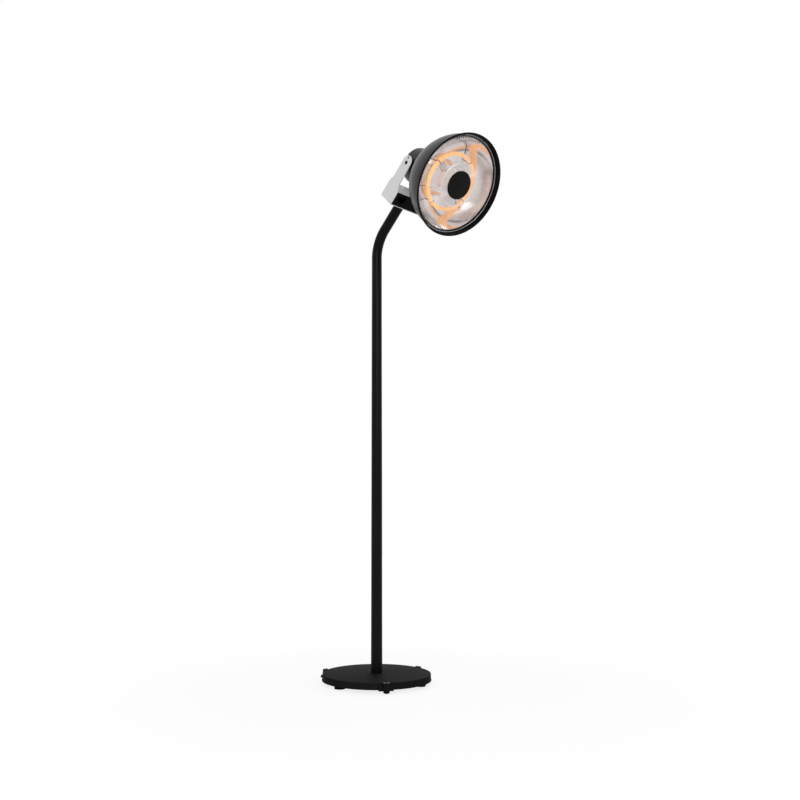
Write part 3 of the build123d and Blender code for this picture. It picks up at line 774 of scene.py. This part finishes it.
# ------------------------------------------------------------------ head
@dataclass
class HeadHousing:
    """Spun shell and front bezel, in millimetres."""

    station: Station
    rim: float = 199.5
    shell: float = 191.5
    depth: float = 201.0
    sheet: float = 1.0
    bezel_depth: float = 14.0
    bezel_step: float = 1.5
    bezel_gap: float = 0.1
    lip: float = 8.4
    sleeve_depth: float = 21.6
    sleeve_gap: float = 0.8
    sleeve_wall: float = 0.4
    land: float = 80.0
    land_bore: float = 40.0

    @property
    def inner(self) -> Point2:
        """The half sizes of the shell's inner face: across and deep."""
        return self.shell - self.sheet, self.depth - self.sheet

    def build(self) -> None:
        """Build and dress the housing's pieces."""
        self.bowl()
        self.bezel()

    def bowl(self) -> None:
        """Spun outer shell of the head."""
        back = self.depth * sqrt(1 - (self.land / self.shell) ** 2)
        first = degrees(asin(self.bezel_depth / self.depth))
        last = degrees(asin(back / self.depth))
        outside = arc((0, 0), (self.shell, self.depth), first, last, BOWL_STEPS)
        inner_first = degrees(asin(self.bezel_depth / self.inner[1]))
        inner_last = degrees(asin((back - self.sheet) / self.inner[1]))
        inside = arc((0, 0), self.inner, inner_last, inner_first, BOWL_STEPS)
        land = [(self.land_bore, back), (self.land_bore, back - self.sheet)]
        piece = turned("shell_spun", self.station, outside + land + inside, around=256)
        dress(piece, HEAD_COAT, "head", "shell")

    def bezel(self) -> None:
        """Flared black front ring with soft edges and a sleeve into the shell."""
        outer = self.shell * sqrt(1 - (self.bezel_depth / self.depth) ** 2)
        bore = self.inner[0] * sqrt(1 - (self.bezel_depth / self.inner[1]) ** 2)
        sleeve, opening = bore - self.sleeve_gap, self.rim - self.lip
        profile = softened(
            [
                (self.rim, 0.0, 1.6),
                (outer + self.bezel_step, self.bezel_depth, 0.5),
                (bore - self.bezel_gap, self.bezel_depth, 0.0),
                (sleeve, self.sleeve_depth, 0.0),
                (sleeve - self.sleeve_wall, self.sleeve_depth, 0.0),
                (opening, self.lip, 1.5),
                (opening, 0.0, 1.6),
            ]
        )
        piece = turned("bezel_ring", self.station, profile, around=256)
        dress(piece, RIM_COAT, "head", "bezel")


@dataclass
class Grille:
    """Radial wires, their two rings and seat, hub plate and blank disc, in millimetres."""

    station: Station
    wires: int = 108
    wire: float = 0.8
    near_bend: Point2 = (20.0, 1.3)
    far_bend: Point2 = (22.0, 3.1)
    end_lift: float = 1.1
    ring: float = 187.4
    ring_wire: float = 0.9
    ring_depth: float = 19.9
    seat_bore: float = 178.6
    seat_outer: float = 189.0
    seat_front: float = 21.8
    seat_back: float = 23.7
    hub: float = 49.0
    hub_depth: float = 9.4
    hub_outer: float = 54.0
    hub_edge: float = 2.0
    hub_band: float = 10.0
    hub_slope: float = 2.0
    hub_web: float = 0.6
    support: float = 82.0
    support_wire: float = 1.6
    badge: float = 54.6
    badge_front: float = 5.4
    badge_back: float = 8.4

    def build(self) -> None:
        """Build and dress the grille and the blank disc."""
        self.wiring()
        self.hoops()
        self.hub_plate()
        self.seat()
        self.disc()

    def wiring(self) -> None:
        """All the radial wires, as one piece."""
        pieces = [self.spoke(number) for number in range(self.wires)]
        dress(joined("grille_wires", pieces), BRIGHT_WIRE, "head", "grille")

    def spoke(self, number: int) -> bpy.types.Object:
        """One radial wire, straight but for a slight bend near each end.

        Args:
            number: Place of the wire in the circle, from 0.

        Returns:
            The wire from the hub to the outer ring.
        """
        angle = 2 * pi * number / self.wires
        stops = [
            (self.hub, self.hub_depth),
            (self.hub + self.near_bend[0], self.hub_depth + self.near_bend[1]),
            (self.ring - self.far_bend[0], self.ring_depth - self.far_bend[1]),
            (self.ring, self.ring_depth - self.end_lift),
        ]
        path = [self.station.point(radius, depth, angle) for radius, depth in stops]
        return swept(f"spoke_{number}", path, round_section(self.wire, steps=8))

    def hoops(self) -> None:
        """The outer ring under the wires' ends and the support ring behind them."""
        rise = (self.ring_depth - self.ring_wire - self.hub_depth) / (self.ring - self.hub)
        support_depth = self.hub_depth + (self.support - self.hub) * rise + self.wire
        hoops = [
            self.hoop("outer_hoop", self.ring, self.ring_depth, self.ring_wire),
            self.hoop("inner_hoop", self.support, support_depth, self.support_wire),
        ]
        dress(joined("grille_hoops", hoops), BRIGHT_RING, "head", "grille")

    def hoop(self, name: str, radius: float, depth: float, wire: float) -> bpy.types.Object:
        """A round wire ring about the head's axis.

        Args:
            name: Name of the piece.
            radius: Radius of the ring's centre line, in millimetres.
            depth: Its depth behind the rim, in millimetres.
            wire: Radius of the wire, in millimetres.

        Returns:
            The ring.
        """
        profile = [(radius + x, depth + y) for x, y in round_section(wire, steps=12)]
        return turned(name, self.station, profile, around=256)

    def hub_plate(self) -> None:
        """Plate behind the disc, with a thicker edge that holds the wires; its finish glows with
        painted lamp light.
        """
        back, web = self.badge_back + self.hub_edge, self.badge_back + self.hub_web
        band = self.hub_outer - self.hub_band
        profile = softened(
            [
                (self.hub_outer, self.badge_back, 0.0),
                (self.hub_outer, back, 0.4),
                (band, back, 0.4),
                (band - self.hub_slope, web, 0.4),
                (0.0, web, 0.0),
                (0.0, self.badge_back, 0.0),
            ]
        )
        piece = turned("hub_plate", self.station, profile, around=96)
        # The hub plate's finish glows with painted lamp light.
        dress(piece, PAINTED_GLOW_PLATE, "head", "grille")

    def seat(self) -> None:
        """Flat black ring that the grille rests on."""
        profile = softened(
            [
                (self.seat_bore, self.seat_front, 0.3),
                (self.seat_outer, self.seat_front, 0.0),
                (self.seat_outer, self.seat_back, 0.0),
                (self.seat_bore, self.seat_back, 0.3),
            ]
        )
        piece = turned("grille_seat", self.station, profile, around=256)
        dress(piece, RIM_COAT, "head", "ring_carrier")

    def disc(self) -> None:
        """Blank round disc at the middle of the grille."""
        profile = softened(
            [
                (self.badge, self.badge_back, 0.2),
                (0.0, self.badge_back, 0.0),
                (0.0, self.badge_front, 0.0),
                (self.badge, self.badge_front, 0.9),
            ]
        )
        piece = turned("blank_disc", self.station, profile, around=128)
        dress(piece, BLACK_COAT, "head", "badge")


@dataclass
class LampAndMirror:
    """Mirror bowl and the glowing ring lamp before it, in millimetres."""

    station: Station
    mouth: float = 180.5
    mouth_depth: float = 23.8
    floor: float = 76.0
    floor_depth: float = 121.5
    bulge: float = 14.2
    foot: float = 73.0
    top: float = 56.0
    rise: float = 44.0
    sheet: float = 1.0
    flange: float = 188.0
    lamp: float = 107.5
    lamp_depth: float = 59.0
    tube: float = 7.3
    core: float = 7.1

    def build(self) -> None:
        """Build and dress the mirror bowl, the lamp's glass and its glowing core."""
        self.mirror()
        core = [(self.lamp + x, self.lamp_depth + y) for x, y in round_section(self.core, steps=24)]
        glow = turned("lamp_glow", self.station, core)
        dress(glow, GLOW, "head", "lamp_element")
        outer = [(self.lamp + x, self.lamp_depth + y) for x, y in round_section(self.tube, steps=28)]
        glass = turned("lamp_quartz", self.station, outer)
        dress(glass, QUARTZ, "head", "lamp_tube")

    def wall(self, skin: float) -> list[Point2]:
        """The bowl's curved wall, from its mouth to its floor.

        Args:
            skin: Distance of the wanted face behind the polished face.

        Returns:
            Points of one arc about a point before the rim.
        """
        run, drop = self.mouth - self.floor, self.floor_depth - self.mouth_depth
        chord = hypot(run, drop)
        size = (chord**2 / 4 + self.bulge**2) / (2 * self.bulge)
        setback = (size - self.bulge) / chord
        middle = (
            (self.mouth + self.floor) / 2 - setback * drop,
            (self.mouth_depth + self.floor_depth) / 2 - setback * run,
        )
        size += skin
        first = degrees(asin((self.mouth_depth + skin - middle[1]) / size))
        last = degrees(asin((self.floor_depth + skin - middle[1]) / size))
        return arc(middle, (size, size), first, last, BOWL_STEPS)

    def mirror(self) -> None:
        """Deep-drawn mirror bowl with a flat rim and a raised conical middle."""
        skin = self.sheet
        flare = self.foot - self.top
        shift = (flare - hypot(flare, self.rise)) * skin / self.rise
        top_depth = self.floor_depth - self.rise
        front = softened(
            [
                (self.floor, self.floor_depth, 0.0),
                (self.foot, self.floor_depth, 1.5),
                (self.top, top_depth, 2.5),
                (0.0, top_depth, 0.0),
            ],
            closed=False,
        )
        back = [
            (0.0, top_depth + skin),
            (self.top + shift, top_depth + skin),
            (self.foot + shift, self.floor_depth + skin),
        ]
        profile = (
            [(self.flange, self.mouth_depth)]
            + self.wall(0.0)
            + front[1:]
            + back
            + self.wall(skin)[::-1]
            + [(self.flange, self.mouth_depth + skin)]
        )
        piece = turned("mirror_bowl", self.station, profile, around=256)
        dress(piece, MIRROR, "head", "reflector")


# ------------------------------------------------------------------ studio
@dataclass(frozen=True)
class SoftLamp:
    """One large round lamp: its place and width in metres, and its power in watts."""

    name: str
    place: Vector
    size: float
    power: float


KEY_LAMP = SoftLamp("key_lamp", place=Vector((-1.9, -2.8, 3.2)), size=3.4, power=66.0)
FILL_LAMP = SoftLamp("fill_lamp", place=Vector((3.0, 1.6, 2.4)), size=2.2, power=25.0)


def seen_rays(tree: bpy.types.NodeTree) -> bpy.types.NodeSocket:
    """Tell the rays of the picture itself from those that only carry light.

    Args:
        tree: The node tree of the floor's material or of the world.

    Returns:
        A socket that is 1 for rays seen straight, in a mirror or through glass, and 0 otherwise.
    """
    put, link = tree.nodes.new, tree.links.new
    rays, most, clear = put("ShaderNodeLightPath"), put("ShaderNodeMath"), put("ShaderNodeMath")
    most.operation = clear.operation = "MAXIMUM"
    link(rays.outputs["Is Camera Ray"], most.inputs[0])
    link(rays.outputs["Is Glossy Ray"], most.inputs[1])
    link(most.outputs["Value"], clear.inputs[0])
    link(rays.outputs["Is Transmission Ray"], clear.inputs[1])
    return clear.outputs["Value"]


@dataclass
class Studio:
    """Floor, backdrop light, lamps and the camera, whose eye is in millimetres from the pole's foot."""

    pole: Vector
    eye: Vector = Vector((-1953.38, -2222.55, 524.10))
    heading: Point2 = (0.66187, 0.74962)
    pitch: float = 13.8571
    lens: float = 33.604
    shift: Point2 = (0.0269, -0.06)
    floor_half: float = 14.0
    floor_drop: float = 0.0005
    floor_colour: tuple[float, ...] = (0.85, 0.85, 0.85, 1.0)
    floor_glow: float = 1.06
    fade_reach: Point2 = (0.5, 2.2)
    fade_share: Point2 = (0.78, 1.0)
    sky_light: float = 0.55
    lit_height: float = 1.2

    def build(self) -> None:
        """Build the camera, the floor, the world and the lamps."""
        self.camera()
        self.floor()
        self.world()
        self.lamps()
        bpy.context.scene.view_settings.view_transform = "Standard"

    def camera(self) -> None:
        """Camera at the photograph's viewing angle."""
        data = bpy.data.cameras.new("camera")
        data.sensor_width = 36.0
        data.lens = self.lens
        data.shift_x, data.shift_y = self.shift
        data.clip_end = 60.0
        rise = radians(self.pitch)
        level = Vector((self.heading[0], self.heading[1], 0)).normalized()
        forward = level * cos(rise) + Vector((0, 0, 1)) * sin(rise)
        right = Vector((level.y, -level.x, 0))
        up = right.cross(forward)
        turn = Matrix((right, up, -forward)).transposed().to_4x4()
        turn.translation = self.pole + self.eye * MM
        camera = bpy.data.objects.new("camera", data)
        camera.matrix_world = turn
        bpy.context.scene.collection.objects.link(camera)
        bpy.context.scene.camera = camera

    def floor(self) -> None:
        """Large pale floor that keeps a soft shadow near the stand and fades to white away from it."""
        size, drop = self.floor_half, -self.floor_drop
        corners = [Vector((x * size, y * size, drop)) for x, y in ((-1, -1), (1, -1), (1, 1), (-1, 1))]
        piece = new_piece("floor", corners, [[0, 1, 2, 3]])
        made = bpy.data.materials.new("pale_floor")
        made.use_nodes = True
        tree = made.node_tree
        put, link = tree.nodes.new, tree.links.new
        shader = tree.nodes["Principled BSDF"]
        shader.inputs["Base Color"].default_value = self.floor_colour
        shader.inputs["Roughness"].default_value = 0.9
        shader.inputs["Specular IOR Level"].default_value = 0.0
        white = put("ShaderNodeEmission")
        white.inputs["Color"].default_value = WHITE
        white.inputs["Strength"].default_value = self.floor_glow
        place, away = put("ShaderNodeTexCoord"), put("ShaderNodeVectorMath")
        away.operation = "LENGTH"
        fade = put("ShaderNodeMapRange")
        fade.interpolation_type = "SMOOTHSTEP"
        fade.inputs["From Min"].default_value, fade.inputs["From Max"].default_value = self.fade_reach
        fade.inputs["To Min"].default_value, fade.inputs["To Max"].default_value = self.fade_share
        share, mix = put("ShaderNodeMath"), put("ShaderNodeMixShader")
        share.operation = "MULTIPLY"
        link(place.outputs["Object"], away.inputs[0])
        link(away.outputs["Value"], fade.inputs["Value"])
        link(seen_rays(tree), share.inputs[0])
        link(fade.outputs["Result"], share.inputs[1])
        link(share.outputs["Value"], mix.inputs["Fac"])
        link(shader.outputs["BSDF"], mix.inputs[1])
        link(white.outputs["Emission"], mix.inputs[2])
        link(mix.outputs["Shader"], tree.nodes["Material Output"].inputs["Surface"])
        piece.data.materials.append(made)

    def world(self) -> None:
        """White to the camera and in reflections, plain soft grey as light."""
        world = bpy.data.worlds.new("soft_white")
        bpy.context.scene.world = world
        world.use_nodes = True
        tree = world.node_tree
        tree.nodes.clear()
        put, link = tree.nodes.new, tree.links.new
        light, seen = put("ShaderNodeBackground"), put("ShaderNodeBackground")
        light.inputs["Color"].default_value = WHITE
        light.inputs["Strength"].default_value = self.sky_light
        seen.inputs["Color"].default_value = WHITE
        seen.inputs["Strength"].default_value = 1.0
        mix, out = put("ShaderNodeMixShader"), put("ShaderNodeOutputWorld")
        link(seen_rays(tree), mix.inputs["Fac"])
        link(light.outputs["Background"], mix.inputs[1])
        link(seen.outputs["Background"], mix.inputs[2])
        link(mix.outputs["Shader"], out.inputs["Surface"])

    def lamps(self) -> None:
        """Two large soft lamps: a key from the left front and a weaker fill from the right rear."""
        for soft in (KEY_LAMP, FILL_LAMP):
            data = bpy.data.lights.new(soft.name, "AREA")
            data.shape = "DISK"
            data.size = soft.size
            data.energy = soft.power
            lamp = bpy.data.objects.new(soft.name, data)
            lamp.location = soft.place
            aim = Vector((0, 0, self.lit_height)) - soft.place
            lamp.rotation_euler = aim.to_track_quat("-Z", "Y").to_euler()
            bpy.context.scene.collection.objects.link(lamp)


# ------------------------------------------------------------------ carried-over nodes
def dress_frame() -> None:
    """Give every CAD node the finish of its material slot."""
    slots = {entry["node"]: entry["material_slot"] for entry in frame["record"]["subparts"]}
    for name, node in frame["nodes"].items():
        finish = NODE_FINISHES.get(name, SLOT_FINISHES[slots[name]]).material()
        if not node.material_slots:
            node.data.materials.append(finish)
        for place in node.material_slots:
            place.material = finish


def main() -> None:
    """Build the classes in order, then the studio."""
    logging.basicConfig(level=logging.INFO, format="%(message)s")
    stand = stand_station()
    head = head_station(tilt=36.0, reach=255.0)
    dress_frame()
    Stand(stand).build()
    HeadHousing(head).build()
    Grille(head).build()
    LampAndMirror(head).build()
    Studio(stand.origin).build()


if __name__ == "__main__":
    main()
